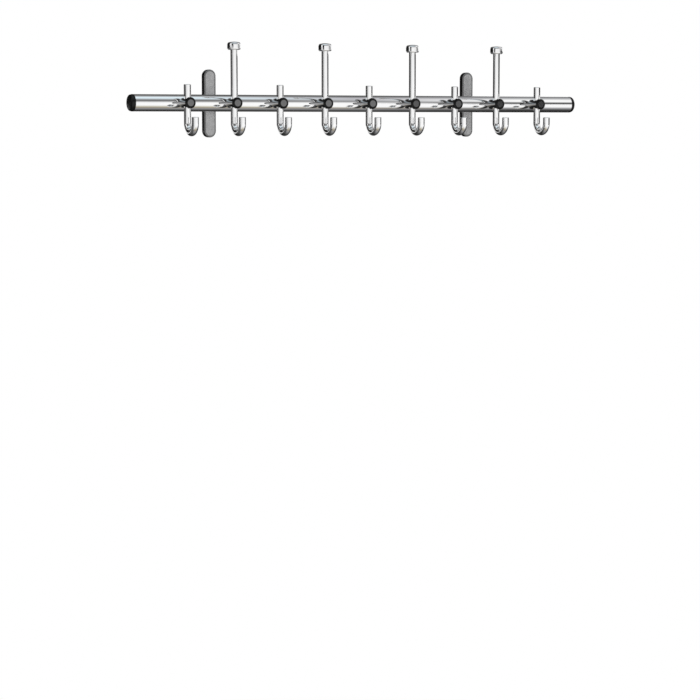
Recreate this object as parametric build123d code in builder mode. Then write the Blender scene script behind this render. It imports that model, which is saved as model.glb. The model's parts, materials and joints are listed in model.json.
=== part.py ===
from build123d import *
from math import sqrt
import os

# Wall coat rack: a chromed rail on two wall brackets, with nine clamped hooks.
# X runs along the rail, Y runs into the wall and Z is up. The origin lies on the wall,
# at mid-length and at the height of the rail's axis. Depths are measured forward from the wall.

os.makedirs("parts", exist_ok=True)

# Rail
rail_diameter = 33.7
rail_wall = 1.5
rail_length = 1000
rail_depth = 95  # to the rail's axis

# Hook rods
hook_count = 9
hook_end_margin = 100  # from the rail's end to the nearest hook's axis
rod_diameter = 14
stem_standoff = 18.15  # from the rail's front to the stem's axis
short_stem_height = 36  # from the rail's axis to the stem's top
hook_drop = 65  # from the rail's axis to the underside of the bend
bend_radius = 19.25  # of the rod's centre line
tip_rise = 11.25  # from the bend's centre to the end of the tip
rod_edge = 1.2

# Hat knobs
knob_rim_height = 118  # from the rail's axis to the rim of the knob's top
knob_diameter = 26.5
knob_height = 14
knob_crown = 2
knob_rim = 4.5
knob_base_edge = 3
knob_stud_diameter = 8
knob_stud_length = 9

# Bosses and the plugs that close them
boss_side_wall = 3  # beside the rod
boss_nose = 13.5  # from the stem's axis to the boss's front
boss_edge = 0.6
plug_thickness = 3.5
plug_overhang = 1
plug_bevel_width = 3.2
plug_bevel_depth = 1.8
plug_ring_wall = 1.5
plug_ring_length = 3.2

# Hook screws
hook_screw_diameter = 6
hook_head_diameter = 10
hook_head_height = 3.8
hook_screw_engagement = 12  # past the rail's front
hook_seat_depth = 2  # of the flat on the rod under the head
hook_key_width = 4
hook_key_depth = 2

# Rivet nuts
nut_barrel_wall = 1.5
nut_flange_width = 1.5
nut_flange_thickness = 1
nut_bulge_width = 1.2
nut_bulge_height = 3
nut_length = 13  # past the rail's surface

# Wall brackets
bracket_spacing = 600
cover_width = 26.5
cover_height = 136.5
cover_depth = 11.5
cover_wall = 1.5
cover_edge = 3
wall_plate_thickness = 5
wall_screw_spacing = 100
wall_screw_hole = 5.5
arm_diameter = 18
arm_bolt_diameter = 8
arm_bolt_head_diameter = 16
arm_bolt_engagement = 12  # past the rail's back
arm_key_width = 5
arm_key_depth = 2.5

# End caps
cap_collar = 3
cap_step = 0.5
cap_dome = 6.8
cap_crown = 2
cap_corner = 4
cap_spigot_length = 18
cap_spigot_wall = 2.2
cap_spigot_play = 0.8
cap_rib_width = 1.5
cap_rib_pitch = 5
cap_rib_count = 3

# Fits
seat_clearance = 0.1  # between curved faces that rest on each other
slide_clearance = 0.1  # of a rod, stud or spigot in its bore
thread_clearance = 0.1
screw_clearance = 0.3  # of a screw in a plain hole
flange_clearance = 0.3  # of a rivet nut's flange in its recess
cover_clearance = 0.25  # between the cover and the plate or arm inside it
head_sink = 0.3  # of the arm bolt's head below the plate's back

# Places that follow from the sizes above
rail_radius = rail_diameter / 2
rail_bore_radius = rail_radius - rail_wall
rail_front = rail_depth + rail_radius
rail_back = rail_depth - rail_radius
rod_radius = rod_diameter / 2
stem_depth = rail_front + stem_standoff
tip_depth = stem_depth + 2 * bend_radius
bend_height = rod_radius + bend_radius - hook_drop
knob_radius = knob_diameter / 2
knob_seat_height = knob_rim_height - knob_height
boss_radius = rod_radius + boss_side_wall
boss_front = stem_depth + boss_nose
head_seat = stem_depth + rod_radius - hook_seat_depth
head_recess_radius = hook_head_diameter / 2 + screw_clearance
plug_ring_radius = head_recess_radius + plug_ring_wall
hook_hole_radius = hook_screw_diameter / 2 + screw_clearance
arm_hole_radius = arm_bolt_diameter / 2 + screw_clearance
hook_pitch = (rail_length - 2 * hook_end_margin) / (hook_count - 1)
hook_places = [hook_end_margin - rail_length / 2 + i * hook_pitch for i in range(hook_count)]
bracket_places = [-bracket_spacing / 2, bracket_spacing / 2]
rail_axis = Axis((0, -rail_depth, 0), (1, 0, 0))
stem_axis = Axis((0, -stem_depth, 0), (0, 0, 1))


def save(piece, label):
    piece.part.label = label
    export_step(piece.part, f"parts/{label}.step")


def save_copies(master, label, places):
    """Copies of a piece modelled at mid-length, set along the rail and saved together."""
    with BuildPart() as copies:
        with Locations(*[(x, 0, 0) for x in places]):
            add(master.part)
    save(copies, label)


def nut_barrel(screw_diameter):
    """Radius of a rivet nut's barrel."""
    return screw_diameter / 2 + nut_barrel_wall


# Rail tube, with a hole in its front for each hook and in its back for each bracket
with BuildPart() as rail:
    with BuildSketch(Plane.YZ.offset(-rail_length / 2)):
        with Locations((-rail_depth, 0)):
            Circle(rail_radius)
            Circle(rail_bore_radius, mode=Mode.SUBTRACT)
    extrude(amount=rail_length)
    with BuildSketch(Plane.XZ.offset(rail_depth)):
        with Locations(*[(x, 0) for x in hook_places]):
            Circle(nut_barrel(hook_screw_diameter) + slide_clearance)
    extrude(amount=rail_diameter, mode=Mode.SUBTRACT)
    with BuildSketch(Plane.XZ.offset(rail_depth)):
        with Locations(*[(x, 0) for x in bracket_places]):
            Circle(nut_barrel(arm_bolt_diameter) + slide_clearance)
    extrude(amount=-rail_diameter, mode=Mode.SUBTRACT)
save(rail, "rail_tube")


# End caps: a collar, a domed end and a hollow ribbed spigot inside the tube
def end_cap(side):
    # The profile's plane has X pointing out of the tube and Y away from its axis
    end_plane = Plane((side * rail_length / 2, -rail_depth, 0), x_dir=(side, 0, 0), z_dir=(0, -side, 0))
    apex = cap_collar + cap_dome
    dome_radius = rail_radius - cap_step
    spigot_radius = rail_bore_radius - cap_spigot_play
    with BuildPart() as cap:
        with BuildSketch(end_plane) as dome:
            with BuildLine():
                TangentArc((apex, 0), (apex - cap_crown, dome_radius), tangent=(0, 1))
                Polyline((apex - cap_crown, dome_radius), (0, dome_radius), (0, 0), (apex, 0))
            make_face()
            shoulder = dome.vertices().sort_by_distance((apex - cap_crown, dome_radius))[0]
            fillet(shoulder, radius=cap_corner)
            Rectangle(cap_collar, rail_radius, align=Align.MIN)
        revolve(axis=rail_axis)
        with BuildSketch(end_plane):
            with Locations((-cap_spigot_length, spigot_radius - cap_spigot_wall)):
                Rectangle(cap_spigot_length, cap_spigot_wall, align=Align.MIN)
            with Locations(*[(-cap_rib_pitch * (i + 1), spigot_radius) for i in range(cap_rib_count)]):
                Rectangle(cap_rib_width, 2 * (cap_spigot_play - slide_clearance))
        revolve(axis=rail_axis)
    return cap


save(end_cap(-1), "end_cap_left")
save(end_cap(1), "end_cap_right")


# Hook rods: a straight stem, a half-round bend and a short upright tip
def hook_rod(stem_height):
    with BuildPart() as rod:
        with BuildLine(Plane.YZ) as path:
            Line((-stem_depth, stem_height), (-stem_depth, bend_height))
            JernArc((-stem_depth, bend_height), (0, -1), bend_radius, -180)
            Line((-tip_depth, bend_height), (-tip_depth, bend_height + tip_rise))
        with BuildSketch(Plane((0, -stem_depth, stem_height), z_dir=(0, 0, -1))):
            Circle(rod_radius)
        sweep(path=path.line)
        tip_end = rod.faces().filter_by(GeomType.PLANE).sort_by(Axis.Y)[0]
        fillet(tip_end.edges(), radius=rod_edge)
        # The screw's hole, with a flat for its head on the front of the stem
        with Locations(Plane((0, -stem_depth - rod_radius, 0), z_dir=(0, -1, 0))):
            CounterBoreHole(hook_hole_radius, head_recess_radius, hook_seat_depth)
    return rod


with BuildPart() as short_rod:
    add(hook_rod(short_stem_height).part)
    stem_end = short_rod.faces().filter_by(Plane.XY).sort_by(Axis.Z)[-1]
    fillet(stem_end.edges(), radius=rod_edge)

with BuildPart() as long_rod:
    add(hook_rod(knob_seat_height).part)
    with BuildSketch(Plane.XY.offset(knob_seat_height)):
        with Locations((0, -stem_depth)):
            Circle(knob_stud_diameter / 2)
    extrude(amount=knob_stud_length)

# Hat knob: turned, with a low crown, a rounded rim and a blind hole for the rod's stud
with BuildPart() as knob:
    knob_plane = Plane((0, -stem_depth, knob_seat_height), x_dir=(1, 0, 0), z_dir=(0, -1, 0))
    with BuildSketch(knob_plane) as turned:
        with BuildLine():
            TangentArc((0, knob_height + knob_crown), (knob_radius, knob_height), tangent=(1, 0))
            Polyline((knob_radius, knob_height), (knob_radius, 0), (0, 0), (0, knob_height + knob_crown))
        make_face()
        fillet(turned.vertices().sort_by_distance((knob_radius, knob_height))[0], radius=knob_rim)
        fillet(turned.vertices().sort_by_distance((knob_radius, 0))[0], radius=knob_base_edge)
    revolve(axis=stem_axis)
    with Locations(Plane((0, -stem_depth, knob_seat_height), z_dir=(0, 0, -1))):
        Hole(knob_stud_diameter / 2 + slide_clearance, depth=knob_stud_length + slide_clearance)

# Boss: saddled on the rail, bored across for the rod and from the front for the screw
with BuildPart() as boss:
    with BuildSketch(Plane.XZ.offset(rail_depth)):
        Circle(boss_radius)
    extrude(amount=boss_front - rail_depth)
    chamfer(boss.faces().sort_by(Axis.Y)[0].edges(), length=boss_edge)
    with BuildSketch(Plane.YZ.offset(-boss_radius)):
        with Locations((-rail_depth, 0)):
            Circle(rail_radius + seat_clearance)
    extrude(amount=2 * boss_radius, mode=Mode.SUBTRACT)
    with BuildSketch(Plane.XY.offset(-boss_radius)):
        with Locations((0, -stem_depth)):
            Circle(rod_radius + slide_clearance)
    extrude(amount=2 * boss_radius, mode=Mode.SUBTRACT)
    with BuildSketch(Plane.XZ.offset(rail_depth)):
        Circle(hook_hole_radius)
    extrude(amount=stem_depth - rail_depth, mode=Mode.SUBTRACT)
    # Room for the flange of the rivet nut
    with BuildSketch(Plane.XZ.offset(rail_depth)):
        Circle(nut_barrel(hook_screw_diameter) + nut_flange_width + flange_clearance)
    extrude(amount=rail_radius + nut_flange_thickness + flange_clearance, mode=Mode.SUBTRACT)
    # Mouth for the plug
    with BuildSketch(Plane.XZ.offset(stem_depth)):
        Circle(plug_ring_radius + slide_clearance)
    extrude(amount=boss_nose, mode=Mode.SUBTRACT)

# Plug: a disc with a wide bevel round its face, and a ring that goes into the boss round the screw's head
with BuildPart() as plug:
    with BuildSketch(Plane.XZ.offset(boss_front)):
        Circle(boss_radius + plug_overhang)
    extrude(amount=plug_thickness)
    face = plug.faces().sort_by(Axis.Y)[0]
    chamfer(face.edges(), length=plug_bevel_width, length2=plug_bevel_depth, reference=face)
    with BuildSketch(Plane.XZ.offset(boss_front)):
        Circle(plug_ring_radius)
        Circle(head_recess_radius, mode=Mode.SUBTRACT)
    extrude(amount=-plug_ring_length)

# Hook screw: a low head with a key socket, seated on the flat of the rod
with BuildPart() as hook_screw:
    with BuildSketch(Plane.XZ.offset(head_seat)):
        Circle(hook_head_diameter / 2)
    extrude(amount=hook_head_height)
    with BuildSketch(Plane.XZ.offset(head_seat + hook_head_height)):
        RegularPolygon(hook_key_width / 2, 6, major_radius=False)
    extrude(amount=-hook_key_depth, mode=Mode.SUBTRACT)
    with BuildSketch(Plane.XZ.offset(head_seat)):
        Circle(hook_screw_diameter / 2)
    extrude(amount=rail_front - hook_screw_engagement - head_seat)


# Rivet nuts: a flange on the rail, a barrel through its wall and a set bulge behind the wall
def rivet_nut(screw_diameter, outward):
    # The profile's plane has X away from the nut's axis and Y out of the rail
    nut_plane = Plane((0, -rail_depth, 0), x_dir=(1, 0, 0), z_dir=(0, 0, outward))
    bore = screw_diameter / 2 + thread_clearance
    barrel = nut_barrel(screw_diameter)
    flange = barrel + nut_flange_width
    bulge = barrel + nut_bulge_width
    bulge_top = sqrt(rail_bore_radius**2 - bulge**2)
    inner_end = rail_radius - nut_length
    outer_end = rail_radius + nut_flange_thickness
    with BuildPart() as nut:
        with BuildSketch(nut_plane):
            with BuildLine():
                Polyline(
                    (bore, inner_end),
                    (bore, outer_end),
                    (flange, outer_end),
                    (flange, rail_radius),
                    (barrel, rail_radius),
                    (barrel, bulge_top),
                    (bulge, bulge_top - nut_bulge_height / 2),
                    (barrel, bulge_top - nut_bulge_height),
                    (barrel, inner_end),
                    close=True,
                )
            make_face()
        revolve(axis=Axis((0, 0, 0), (0, 1, 0)))
    return nut


hook_nut = rivet_nut(hook_screw_diameter, -1)
arm_nut = rivet_nut(arm_bolt_diameter, 1)

# Wall plate: holes for the wall screws, and a countersink at the back for the arm's bolt
with BuildPart() as wall_plate:
    with BuildSketch(Plane.XZ):
        plate_inset = cover_wall + cover_clearance
        SlotOverall(cover_height - 2 * plate_inset, cover_width - 2 * plate_inset, rotation=90)
        with GridLocations(0, wall_screw_spacing, 1, 2):
            Circle(wall_screw_hole / 2, mode=Mode.SUBTRACT)
    extrude(amount=wall_plate_thickness)
    with Locations(Plane((0, 0, 0), z_dir=(0, 1, 0))):
        CounterSinkHole(
            arm_hole_radius,
            arm_bolt_head_diameter / 2 + head_sink + seat_clearance,
            counter_sink_angle=90,
        )

# Cover: a shell with rounded ends and front edges, open to the wall, with a hole for the arm
with BuildPart() as cover:
    with BuildSketch(Plane.XZ):
        SlotOverall(cover_height, cover_width, rotation=90)
    extrude(amount=cover_depth)
    fillet(cover.faces().sort_by(Axis.Y)[0].edges(), radius=cover_edge)
    offset(amount=-cover_wall, openings=cover.faces().sort_by(Axis.Y)[-1])
    with BuildSketch(Plane.XZ):
        Circle(arm_diameter / 2 + cover_clearance)
    extrude(amount=cover_depth, mode=Mode.SUBTRACT)

# Arm: a bored bar from the wall plate to the back of the rail, saddled on the rail
with BuildPart() as arm:
    with BuildSketch(Plane.XZ.offset(wall_plate_thickness)):
        Circle(arm_diameter / 2)
        Circle(arm_hole_radius, mode=Mode.SUBTRACT)
    extrude(amount=rail_depth - wall_plate_thickness)
    with BuildSketch(Plane.YZ.offset(-arm_diameter)):
        with Locations((-rail_depth, 0)):
            Circle(rail_radius + seat_clearance)
    extrude(amount=2 * arm_diameter, mode=Mode.SUBTRACT)
    # Room for the flange of the rivet nut
    with BuildSketch(Plane.XZ.offset(rail_depth)):
        Circle(nut_barrel(arm_bolt_diameter) + nut_flange_width + flange_clearance)
    extrude(amount=-rail_radius - nut_flange_thickness - flange_clearance, mode=Mode.SUBTRACT)

# Arm bolt: countersunk in the wall plate and screwed into the rail's rivet nut
with BuildPart() as arm_bolt:
    head_length = (arm_bolt_head_diameter - arm_bolt_diameter) / 2
    with Locations(Plane((0, -head_sink, 0), z_dir=(0, -1, 0))):
        Cone(
            arm_bolt_head_diameter / 2,
            arm_bolt_diameter / 2,
            head_length,
            align=(Align.CENTER, Align.CENTER, Align.MIN),
        )
    with BuildSketch(Plane.XZ.offset(head_sink + head_length)):
        Circle(arm_bolt_diameter / 2)
    extrude(amount=rail_back + arm_bolt_engagement - head_sink - head_length)
    with BuildSketch(Plane.XZ.offset(head_sink)):
        RegularPolygon(arm_key_width / 2, 6, major_radius=False)
    extrude(amount=arm_key_depth, mode=Mode.SUBTRACT)

# Hooks in order along the rail: every second one is long and carries a hat knob
for number, place in enumerate(hook_places, start=1):
    is_long = number % 2 == 0
    save_copies(long_rod if is_long else short_rod, f"hook_{number}", [place])
    save_copies(boss, f"boss_{number}", [place])
    save_copies(plug, f"plug_{number}", [place])
    if is_long:
        save_copies(knob, f"hat_knob_{number}", [place])

# Brackets
for side, place in zip(("left", "right"), bracket_places):
    save_copies(wall_plate, f"wall_plate_{side}", [place])
    save_copies(cover, f"bracket_cover_{side}", [place])
    save_copies(arm, f"bracket_arm_{side}", [place])

# Fasteners, one node for each kind
save_copies(hook_screw, "hook_screws", hook_places)
save_copies(hook_nut, "hook_rivet_nuts", hook_places)
save_copies(arm_bolt, "arm_bolts", bracket_places)
save_copies(arm_nut, "arm_rivet_nuts", bracket_places)
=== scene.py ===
import json
import math

import bpy
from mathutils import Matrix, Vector


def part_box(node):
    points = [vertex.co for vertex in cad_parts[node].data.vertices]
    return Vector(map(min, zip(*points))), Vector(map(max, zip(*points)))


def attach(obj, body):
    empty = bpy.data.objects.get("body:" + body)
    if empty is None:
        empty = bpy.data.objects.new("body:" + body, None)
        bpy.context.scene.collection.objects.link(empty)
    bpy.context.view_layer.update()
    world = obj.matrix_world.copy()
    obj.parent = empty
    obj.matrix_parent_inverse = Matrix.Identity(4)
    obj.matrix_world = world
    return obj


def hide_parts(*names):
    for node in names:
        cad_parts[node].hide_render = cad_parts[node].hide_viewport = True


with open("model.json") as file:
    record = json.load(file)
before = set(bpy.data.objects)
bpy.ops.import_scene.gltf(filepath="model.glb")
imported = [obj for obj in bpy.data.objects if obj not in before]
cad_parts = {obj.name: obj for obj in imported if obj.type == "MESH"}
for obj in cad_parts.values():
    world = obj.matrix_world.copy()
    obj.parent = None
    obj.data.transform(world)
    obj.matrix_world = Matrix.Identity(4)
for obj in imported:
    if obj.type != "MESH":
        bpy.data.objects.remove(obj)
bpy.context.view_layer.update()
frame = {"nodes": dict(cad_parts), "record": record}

quarter_turn = 90.0
half_turn = 180.0
full_turn = 360.0

# Camera, in metres and degrees in the rack's own frame
camera_place = (-2.1182, -4.1736, -0.0387)
camera_yaw = 27.16
camera_pitch = -5.81
camera_lens = 114.84

# Rail, in metres; the limit, in degrees, keeps its long sides from being shaded together with its rims
rail_wall = 0.0015
rail_rim = 0.0003
rail_rim_segments = 2
rail_segments = 160
rail_smooth_limit = 12.0
rail_end_facing = 0.9

# Clouds and grain in every finish
cloud_detail = 4.0
cloud_start = 0.3
cloud_end = 0.7
grain_detail = 2.0

# Rings of painted shade round the fronts of the plugs and covers, in metres in from the outline
plug_ring = 0.0042
cover_ring = 0.0035
ring_blur = 0.0006
plug_ring_painted_shade = (0.004, 0.004, 0.004)
plug_gloss_index = 2.0

# Where the covers' rounded lip and their sides start and end, by how far their surface faces along Y
cover_lip_start = -0.995
cover_lip_end = -0.96
cover_side_start = -0.72
cover_side_end = -0.58
# Painted shade: the covers' rounded lip and front ring are darkened, and their sides painted near black
cover_rim_painted_shade = (0.2, 0.2, 0.2)
cover_side_painted_shade = (0.006, 0.006, 0.006)

# Studio, in metres; light levels are radiance, where 1 is white
world_light = 0.7
softbox_light = 0.65
softbox_size = (3.6, 2.6)
softbox_place = (0.6, -0.7, 2.2)
softbox_tint = (0.92, 0.97, 1.0)
floor_height = -1.65
floor_radius = 1.5
floor_plain_radius = 0.8
floor_segments = 96
tent_radius = 1.6
tent_length = 7.0
tent_segments = 96
flag_radius = 1.45
flag_segments = 360
dark_side_start = -1.0
dark_side_end = -2.0
dark_side_level = 0.08

# Heights of the flags' edges, by what the camera sees mirrored between them
flag_bottom = -1.2
flag_top = 1.2
boss_view_bottom = -0.42
boss_view_top = -0.08
bend_view_bottom = -0.3
plug_view_bottom = -0.008
stem_view_bottom = 0.03
knob_view_bottom = 0.146
back_flag_bottom = -0.1
back_flag_top = 0.2
white_flag_bottom = -0.1
white_flag_top = 0.18
knob_flag_top = 0.5

# Turns of the flags' edges, in degrees to the right of the camera's side
back_turn = -170.0
gap_start_turn = -142.0
gap_end_turn = -104.0
knob_dark_end_turn = -63.0
stem_dark_end_turn = -46.0
camera_start_turn = -39.0
white_start_turn = -13.0
white_end_turn = 30.0
plug_dim_turn = 54.0
plug_dark_turn = 63.0
stem_right_turn = 76.0
knob_right_turn = 104.0
right_end_turn = 165.0

# Shades of the flags
flag_black = 0.01
flag_dark = 0.02
flag_grey = 0.1
flag_dim = 0.45
flag_pale = 0.75
flag_white = 0.95

# Shades in the tent
back_white = (0.88, 0.88, 0.88)
white = (1.0, 1.0, 1.0)
pearl = (0.52, 0.51, 0.54)
silver = (0.45, 0.46, 0.47)
grey = (0.29, 0.29, 0.3)
dim = (0.13, 0.13, 0.13)
black = (0.03, 0.03, 0.03)
sky = (0.8, 0.93, 1.0)
cream = (0.6, 0.57, 0.47)
tan = (0.34, 0.3, 0.23)

# The tent's shades as the rail's ends and middle mirror them, by degrees up from straight in front
lower_back_shades = ((-180, back_white), (-172, back_white), (-160, black))
upper_back_shades = ((160, black), (172, back_white), (180, back_white))
left_shades = (
    *lower_back_shades,
    (-120, black),
    (-98, dim),
    (-80, grey),
    (-64, tan),
    (-49, cream),
    (-30, white),
    (2, white),
    (28, dim),
    (44, grey),
    (68, sky),
    (78, sky),
    (96, silver),
    (117, dim),
    *upper_back_shades,
)
middle_shades = (
    *lower_back_shades,
    (-122, black),
    (-98, dim),
    (-78, grey),
    (-60, tan),
    (-46, white),
    (6, white),
    (29, grey),
    (46, silver),
    (60, pearl),
    (80, pearl),
    (98, grey),
    (122, dim),
    *upper_back_shades,
)
right_shades = (
    *lower_back_shades,
    (-98, black),
    (-76, dim),
    (-60, grey),
    (-32, white),
    (2, white),
    (12, black),
    (21, black),
    (41, white),
    (62, white),
    (94, silver),
    (117, grey),
    *upper_back_shades,
)


# A node's low and high corners
def corners(node):
    return (Vector(corner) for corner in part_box(node))


def select_none():
    bpy.ops.object.select_all(action="DESELECT")


# Leaves the piece in edit mode with only the faces that pass the test selected
def select_faces(piece, test):
    bpy.ops.object.mode_set(mode="EDIT")
    bpy.ops.mesh.select_mode(type="FACE")
    bpy.ops.mesh.select_all(action="DESELECT")
    bpy.ops.object.mode_set(mode="OBJECT")
    for face in piece.data.polygons:
        face.select = test(face)
    bpy.ops.object.mode_set(mode="EDIT")


# Joins a node's input to another node's output, or sets it to a plain value
def feed(tree, socket, value):
    if isinstance(value, bpy.types.NodeSocket):
        tree.links.new(value, socket)
    else:
        socket.default_value = value


def add_math(tree, operation, *values):
    node = tree.nodes.new("ShaderNodeMath")
    node.operation = operation
    for socket, value in zip(node.inputs, values):
        feed(tree, socket, value)
    return node.outputs["Value"]


# Takes a value from the range between start and end to the range between low and high
def add_range(tree, value, start, end, low=0.0, high=1.0):
    node = tree.nodes.new("ShaderNodeMapRange")
    feed(tree, node.inputs["Value"], value)
    feed(tree, node.inputs["From Min"], start)
    feed(tree, node.inputs["From Max"], end)
    feed(tree, node.inputs["To Min"], low)
    feed(tree, node.inputs["To Max"], high)
    return node.outputs["Result"]


def add_mix(tree, factor, first, second):
    node = tree.nodes.new("ShaderNodeMix")
    node.data_type = "RGBA"
    feed(tree, node.inputs["Factor"], factor)
    feed(tree, node.inputs["A"], first)
    feed(tree, node.inputs["B"], second)
    return node.outputs["Result"]


def add_noise(tree, vector, scale, detail):
    node = tree.nodes.new("ShaderNodeTexNoise")
    feed(tree, node.inputs["Vector"], vector)
    feed(tree, node.inputs["Scale"], scale)
    feed(tree, node.inputs["Detail"], detail)
    return node.outputs["Fac"]


def add_length(tree, vector):
    node = tree.nodes.new("ShaderNodeVectorMath")
    node.operation = "LENGTH"
    feed(tree, node.inputs[0], vector)
    return node.outputs["Value"]


def add_place(tree):
    return tree.nodes.new("ShaderNodeTexCoord").outputs["Object"]


# Splits a vector into X, Y and Z
def add_axes(tree, vector):
    node = tree.nodes.new("ShaderNodeSeparateXYZ")
    feed(tree, node.inputs["Vector"], vector)
    return node.outputs


# Shared effect: a soft cloud that varies colour and roughness, and a fine grain for the bump
def make_surface_group():
    group = bpy.data.node_groups.new("surface variation", "ShaderNodeTree")
    for name, kind in (
        ("Cloud Scale", "NodeSocketFloat"),
        ("Grain Scale", "NodeSocketFloat"),
        ("Low Roughness", "NodeSocketFloat"),
        ("High Roughness", "NodeSocketFloat"),
        ("Dark Colour", "NodeSocketColor"),
        ("Light Colour", "NodeSocketColor"),
    ):
        group.interface.new_socket(name, in_out="INPUT", socket_type=kind)
    for name, kind in (
        ("Colour", "NodeSocketColor"),
        ("Roughness", "NodeSocketFloat"),
        ("Grain", "NodeSocketFloat"),
    ):
        group.interface.new_socket(name, in_out="OUTPUT", socket_type=kind)
    given = group.nodes.new("NodeGroupInput").outputs
    result = group.nodes.new("NodeGroupOutput").inputs
    place = add_place(group)
    cloud = add_noise(group, place, given["Cloud Scale"], cloud_detail)
    spread = add_range(group, cloud, cloud_start, cloud_end)
    roughness = add_range(group, spread, 0.0, 1.0, given["Low Roughness"], given["High Roughness"])
    feed(group, result["Colour"], add_mix(group, spread, given["Dark Colour"], given["Light Colour"]))
    feed(group, result["Roughness"], roughness)
    feed(group, result["Grain"], add_noise(group, place, given["Grain Scale"], grain_detail))
    return group


# Shared effect: a mask of the ring round a front with rounded ends, on each copy of it along the rail,
# where shade is painted
def make_ring_group():
    group = bpy.data.node_groups.new("front ring", "ShaderNodeTree")
    for name in ("First Middle", "Pitch", "Straight", "Inner", "Outer"):
        group.interface.new_socket(name, in_out="INPUT", socket_type="NodeSocketFloat")
    group.interface.new_socket("Ring", in_out="OUTPUT", socket_type="NodeSocketFloat")
    given = group.nodes.new("NodeGroupInput").outputs
    result = group.nodes.new("NodeGroupOutput").inputs
    axes = add_axes(group, add_place(group))
    along = add_math(group, "SUBTRACT", axes["X"], given["First Middle"])
    half_pitch = add_math(group, "MULTIPLY", given["Pitch"], 0.5)
    minus_half = add_math(group, "MULTIPLY", given["Pitch"], -0.5)
    across = add_math(group, "WRAP", along, half_pitch, minus_half)
    height = add_math(group, "ABSOLUTE", axes["Z"])
    past_straight = add_math(group, "SUBTRACT", height, given["Straight"])
    rise = add_math(group, "MAXIMUM", past_straight, 0.0)
    offset = group.nodes.new("ShaderNodeCombineXYZ")
    feed(group, offset.inputs["X"], across)
    feed(group, offset.inputs["Z"], rise)
    distance = add_length(group, offset.outputs["Vector"])
    feed(group, result["Ring"], add_range(group, distance, given["Inner"], given["Outer"]))
    return group


surface_group = make_surface_group()
ring_group = make_ring_group()


def start_finish(name, dark, light, roughness, cloud_scale, grain_scale, bump_depth):
    material = bpy.data.materials.new(name)
    material.use_nodes = True
    tree = material.node_tree
    shader = tree.nodes["Principled BSDF"]
    surface = tree.nodes.new("ShaderNodeGroup")
    surface.node_tree = surface_group
    surface.inputs["Cloud Scale"].default_value = cloud_scale
    surface.inputs["Grain Scale"].default_value = grain_scale
    surface.inputs["Low Roughness"].default_value = roughness[0]
    surface.inputs["High Roughness"].default_value = roughness[1]
    surface.inputs["Dark Colour"].default_value = (*dark, 1.0)
    surface.inputs["Light Colour"].default_value = (*light, 1.0)
    bump = tree.nodes.new("ShaderNodeBump")
    bump.inputs["Distance"].default_value = bump_depth
    feed(tree, shader.inputs["Base Color"], surface.outputs["Colour"])
    feed(tree, shader.inputs["Roughness"], surface.outputs["Roughness"])
    feed(tree, bump.inputs["Height"], surface.outputs["Grain"])
    feed(tree, shader.inputs["Normal"], bump.outputs["Normal"])
    return material, shader


# Mixes the finish's colour towards a painted shade where the mask is set
def paint_shade_where(material, mask, tint):
    tree = material.node_tree
    base = tree.nodes["Principled BSDF"].inputs["Base Color"]
    feed(tree, base, add_mix(tree, mask, base.links[0].from_socket, (*tint, 1.0)))


# Paints a ring of shade round the flat front of a piece that stands along the rail again, and returns its
# mask
def paint_front_ring_shade(material, first, second, ring_width, ring_colour):
    low, high = corners(first)
    width = high.x - low.x
    ring = material.node_tree.nodes.new("ShaderNodeGroup")
    ring.node_tree = ring_group
    ring.inputs["First Middle"].default_value = (low.x + high.x) / 2
    ring.inputs["Pitch"].default_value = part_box(second)[0][0] - low.x
    ring.inputs["Straight"].default_value = (high.z - low.z - width) / 2
    ring.inputs["Inner"].default_value = width / 2 - ring_width - ring_blur
    ring.inputs["Outer"].default_value = width / 2 - ring_width
    paint_shade_where(material, ring.outputs["Ring"], ring_colour)
    return ring.outputs["Ring"]


# Paints shade on the covers' rounded lip and their sides, told apart by how far they face the front
def paint_cover_edge_shade(material):
    tree = material.node_tree
    shape = tree.nodes.new("ShaderNodeNewGeometry")
    facing = add_axes(tree, shape.outputs["Normal"])["Y"]
    paint_shade_where(material, add_range(tree, facing, cover_lip_start, cover_lip_end), cover_rim_painted_shade)
    paint_shade_where(material, add_range(tree, facing, cover_side_start, cover_side_end), cover_side_painted_shade)


def polished_chrome():
    material, shader = start_finish(
        "polished chrome",
        dark=(0.93, 0.93, 0.935),
        light=(0.98, 0.98, 0.98),
        roughness=(0.03, 0.08),
        cloud_scale=18.0,
        grain_scale=260.0,
        bump_depth=0.000004,
    )
    shader.inputs["Metallic"].default_value = 1.0
    return material


# Painted shade: the bosses are the rail's chrome with a darkened colour, so that they mirror darker
def boss_chrome_painted_dark():
    material, shader = start_finish(
        "boss chrome painted dark",
        dark=(0.28, 0.28, 0.285),
        light=(0.36, 0.36, 0.365),
        roughness=(0.06, 0.12),
        cloud_scale=70.0,
        grain_scale=900.0,
        bump_depth=0.000006,
    )
    shader.inputs["Metallic"].default_value = 1.0
    return material


def black_cap():
    material, shader = start_finish(
        "black cap",
        dark=(0.004, 0.004, 0.004),
        light=(0.009, 0.009, 0.009),
        roughness=(0.25, 0.38),
        cloud_scale=90.0,
        grain_scale=1600.0,
        bump_depth=0.00001,
    )
    shader.inputs["Specular IOR Level"].default_value = 0.25
    return material


# The plugs' faces are glossy inside a dull ring, which is also painted darker as shade
def black_plug():
    material, shader = start_finish(
        "black plug",
        dark=(0.03, 0.03, 0.032),
        light=(0.055, 0.055, 0.057),
        roughness=(0.30, 0.42),
        cloud_scale=160.0,
        grain_scale=1600.0,
        bump_depth=0.00001,
    )
    shader.inputs["Specular IOR Level"].default_value = 0.2
    shader.inputs["Coat IOR"].default_value = plug_gloss_index
    shader.inputs["Coat Roughness"].default_value = 0.06
    ring = paint_front_ring_shade(material, "plug_1", "plug_2", plug_ring, plug_ring_painted_shade)
    gloss = add_range(material.node_tree, ring, 0.0, 1.0, 1.0, 0.0)
    feed(material.node_tree, shader.inputs["Coat Weight"], gloss)
    return material


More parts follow.
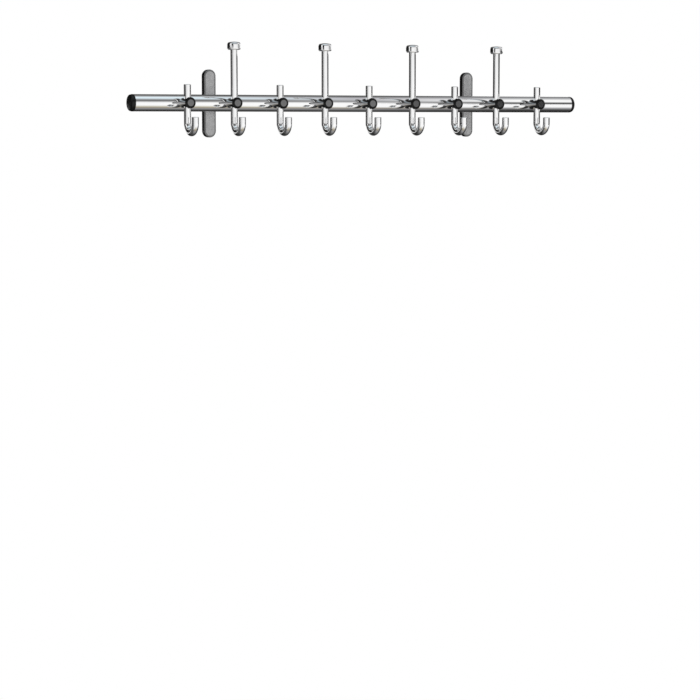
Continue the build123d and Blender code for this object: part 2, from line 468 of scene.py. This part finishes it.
def grey_coat():
    material, shader = start_finish(
        "metallic grey coat",
        dark=(0.40, 0.40, 0.405),
        light=(0.52, 0.52, 0.52),
        roughness=(0.20, 0.30),
        cloud_scale=120.0,
        grain_scale=1500.0,
        bump_depth=0.00002,
    )
    shader.inputs["Metallic"].default_value = 0.4
    shader.inputs["Specular IOR Level"].default_value = 0.25
    # Painted shade: a darker ring round each cover's front, a darker lip and near-black sides
    paint_front_ring_shade(material, "bracket_cover_left", "bracket_cover_right", cover_ring, cover_rim_painted_shade)
    paint_cover_edge_shade(material)
    return material


def zinc_plate():
    material, shader = start_finish(
        "zinc plate",
        dark=(0.54, 0.55, 0.58),
        light=(0.68, 0.68, 0.66),
        roughness=(0.25, 0.45),
        cloud_scale=110.0,
        grain_scale=1200.0,
        bump_depth=0.00002,
    )
    shader.inputs["Metallic"].default_value = 1.0
    return material


slot_finishes = {
    "chrome": polished_chrome(),
    "black_plastic": black_cap(),
    "grey_paint": grey_coat(),
    "zinc_steel": zinc_plate(),
}
own_finishes = {"boss": boss_chrome_painted_dark(), "plug": black_plug()}


# The solids keep their shapes and take the finishes
def dress_solids():
    for part in frame["record"]["subparts"]:
        kind = part["node"].split("_")[0]
        finish = own_finishes.get(kind, slot_finishes[part["material_slot"]])
        for material_slot in frame["nodes"][part["node"]].material_slots:
            material_slot.material = finish


def faces_along_rail(face):
    return abs(face.normal.x) > rail_end_facing


# Rail: a tube with fine facets, bored through, with eased rims
def model_rail():
    low, high = corners("rail_tube")
    select_none()
    bpy.ops.mesh.primitive_cylinder_add(
        vertices=rail_segments,
        radius=(high.z - low.z) / 2,
        depth=high.x - low.x,
        location=(low + high) / 2,
        rotation=(0.0, math.pi / 2, 0.0),
    )
    rail = bpy.context.object
    rail.name = "chrome_rail"
    bpy.ops.object.transform_apply(location=True, rotation=True, scale=True)
    select_faces(rail, faces_along_rail)
    bpy.ops.mesh.inset(thickness=rail_wall)
    bpy.ops.mesh.bridge_edge_loops()
    select_faces(rail, faces_along_rail)
    bpy.ops.mesh.region_to_loop()
    bpy.ops.mesh.bevel(offset=rail_rim, segments=rail_rim_segments, affect="EDGES")
    bpy.ops.mesh.select_all(action="SELECT")
    bpy.ops.mesh.normals_make_consistent(inside=False)
    bpy.ops.object.mode_set(mode="OBJECT")
    bpy.ops.object.shade_smooth_by_angle(angle=math.radians(rail_smooth_limit))
    rail.data.materials.clear()
    rail.data.materials.append(slot_finishes["chrome"])
    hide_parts("rail_tube")
    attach(rail, "root")


# World: white for the camera, reflections and anything seen through, and a lower level as light
def make_world():
    world = bpy.data.worlds.new("white surround")
    bpy.context.scene.world = world
    world.use_nodes = True
    tree = world.node_tree
    background = tree.nodes["Background"]
    background.inputs["Color"].default_value = (1.0, 1.0, 1.0, 1.0)
    path = tree.nodes.new("ShaderNodeLightPath").outputs
    seen = add_math(tree, "MAXIMUM", path["Is Camera Ray"], path["Is Glossy Ray"])
    shown = add_math(tree, "MAXIMUM", seen, path["Is Transmission Ray"])
    feed(tree, background.inputs["Strength"], add_range(tree, shown, 0.0, 1.0, world_light, 1.0))


# Gives a panel of the studio a glow that only reflections see
def make_reflected(panel, name):
    material = bpy.data.materials.new(name)
    material.use_nodes = True
    tree = material.node_tree
    glow = tree.nodes.new("ShaderNodeEmission")
    feed(tree, tree.nodes["Material Output"].inputs["Surface"], glow.outputs["Emission"])
    panel.data.materials.append(material)
    panel.visible_camera = False
    panel.visible_diffuse = False
    panel.visible_shadow = False
    return tree, glow


def add_shades(tree, turn, shades):
    ramp = tree.nodes.new("ShaderNodeValToRGB")
    stops = ramp.color_ramp.elements
    stops.remove(stops[1])
    stops[0].color = (*shades[0][1], 1.0)
    for degrees, colour in shades[1:]:
        stop = stops.new((degrees + half_turn) / full_turn)
        stop.color = (*colour, 1.0)
    feed(tree, ramp.inputs["Fac"], turn)
    return ramp.outputs["Color"]


# Light tent: a wide tube along the rail that only reflections see, shaded by the angle round the rail
def make_tent():
    low, high = corners("rail_tube")
    select_none()
    bpy.ops.mesh.primitive_cylinder_add(
        vertices=tent_segments,
        radius=tent_radius,
        depth=tent_length,
        location=(low + high) / 2,
        rotation=(0.0, math.pi / 2, 0.0),
    )
    tent = bpy.context.object
    tent.name = "light_tent"
    bpy.ops.object.transform_apply(location=False, rotation=True, scale=True)
    tree, glow = make_reflected(tent, "tent shades")
    axes = add_axes(tree, add_place(tree))
    front = add_math(tree, "MULTIPLY", axes["Y"], -1.0)
    angle = add_math(tree, "ARCTAN2", axes["Z"], front)
    turn = add_range(tree, angle, -math.pi, math.pi)
    # The rail mirrors the tent to the camera this much further along it
    shift = tent_radius * math.tan(math.radians(camera_yaw))
    middle = (low.x + high.x) / 2
    colour = add_shades(tree, turn, left_shades)
    for start, end, shades in ((low.x, middle, middle_shades), (middle, high.x, right_shades)):
        along = add_range(tree, axes["X"], start + shift, end + shift)
        colour = add_mix(tree, along, colour, add_shades(tree, turn, shades))
    feed(tree, glow.inputs["Color"], colour)
    # The tent is dark well to the left of the rack
    level = add_range(tree, axes["X"], dark_side_end, dark_side_start, dark_side_level)
    feed(tree, glow.inputs["Strength"], level)


# Flag: a curved upright panel in the tent, between two turns away from the camera's side
def make_flag(name, start_turn, end_turn, bottom, top, shade):
    select_none()
    bpy.ops.mesh.primitive_cylinder_add(
        vertices=flag_segments,
        radius=flag_radius,
        depth=top - bottom,
        end_fill_type="NOTHING",
        location=(0.0, 0.0, (top + bottom) / 2),
    )
    flag = bpy.context.object
    flag.name = f"{name}_flag"

    def outside(face):
        bearing = math.degrees(math.atan2(face.center.y, face.center.x))
        turn = (bearing + quarter_turn + camera_yaw + half_turn) % full_turn - half_turn
        return not start_turn < turn < end_turn

    select_faces(flag, outside)
    bpy.ops.mesh.delete(type="FACE")
    bpy.ops.object.mode_set(mode="OBJECT")
    tree, glow = make_reflected(flag, flag.name)
    glow.inputs["Color"].default_value = (shade, shade, shade, 1.0)


def make_flags():
    make_flag("back", back_turn, gap_start_turn, back_flag_bottom, back_flag_top, flag_black)
    make_flag("upper_gap", gap_start_turn, gap_end_turn, boss_view_top, flag_top, flag_black)
    make_flag("lower_gap", gap_start_turn, gap_end_turn, flag_bottom, boss_view_bottom, flag_black)
    make_flag("stem_dark", gap_end_turn, stem_dark_end_turn, flag_bottom, knob_view_bottom, flag_grey)
    make_flag("stem_pale", stem_dark_end_turn, white_start_turn, flag_bottom, knob_view_bottom, flag_pale)
    make_flag("knob_dark", gap_end_turn, knob_dark_end_turn, knob_view_bottom, flag_top, flag_black)
    make_flag("knob_white", knob_dark_end_turn, camera_start_turn, knob_view_bottom, flag_top, flag_white)
    make_flag("camera", camera_start_turn, white_start_turn, knob_view_bottom, flag_top, flag_dark)
    make_flag("white", white_start_turn, white_end_turn, white_flag_bottom, white_flag_top, flag_white)
    make_flag("bend_right", stem_right_turn, right_end_turn, bend_view_bottom, plug_view_bottom, flag_grey)
    make_flag("plug_dim", plug_dim_turn, plug_dark_turn, plug_view_bottom, stem_view_bottom, flag_dim)
    make_flag("plug_dark", plug_dark_turn, stem_right_turn, plug_view_bottom, stem_view_bottom, flag_black)
    make_flag("stem_right", stem_right_turn, right_end_turn, stem_view_bottom, knob_view_bottom, flag_black)
    make_flag("knob_right", knob_right_turn, right_end_turn, knob_view_bottom, knob_flag_top, flag_white)


# Floor: a pale disc that fades into the white surround towards its rim
def make_floor():
    select_none()
    bpy.ops.mesh.primitive_circle_add(
        vertices=floor_segments, radius=floor_radius, fill_type="NGON", location=(0.0, 0.0, floor_height)
    )
    floor = bpy.context.object
    floor.name = "floor"
    material = bpy.data.materials.new("pale floor")
    material.use_nodes = True
    tree = material.node_tree
    shader = tree.nodes["Principled BSDF"]
    shader.inputs["Base Color"].default_value = (0.93, 0.93, 0.92, 1.0)
    shader.inputs["Roughness"].default_value = 0.8
    surround = tree.nodes.new("ShaderNodeEmission")
    mix = tree.nodes.new("ShaderNodeMixShader")
    distance = add_length(tree, add_place(tree))
    feed(tree, mix.inputs["Fac"], add_range(tree, distance, floor_plain_radius, floor_radius))
    feed(tree, mix.inputs[1], shader.outputs["BSDF"])
    feed(tree, mix.inputs[2], surround.outputs["Emission"])
    feed(tree, tree.nodes["Material Output"].inputs["Surface"], mix.outputs["Shader"])
    floor.data.materials.append(material)


def make_softbox():
    width, depth = softbox_size
    lamp = bpy.data.lights.new("overhead softbox", "AREA")
    lamp.shape = "RECTANGLE"
    lamp.size = width
    lamp.size_y = depth
    lamp.color = softbox_tint
    lamp.energy = softbox_light * math.pi * width * depth
    softbox = bpy.data.objects.new("overhead softbox", lamp)
    softbox.location = softbox_place
    softbox.visible_camera = False
    softbox.visible_glossy = False
    bpy.context.scene.collection.objects.link(softbox)


def make_camera():
    lens = bpy.data.cameras.new("camera")
    lens.lens = camera_lens
    camera = bpy.data.objects.new("camera", lens)
    camera.location = camera_place
    camera.rotation_euler = (math.radians(quarter_turn + camera_pitch), 0.0, math.radians(-camera_yaw))
    bpy.context.scene.collection.objects.link(camera)
    bpy.context.scene.camera = camera


dress_solids()
model_rail()
make_world()
make_tent()
make_flags()
make_floor()
make_softbox()
make_camera()
bpy.context.scene.view_settings.view_transform = "Standard"
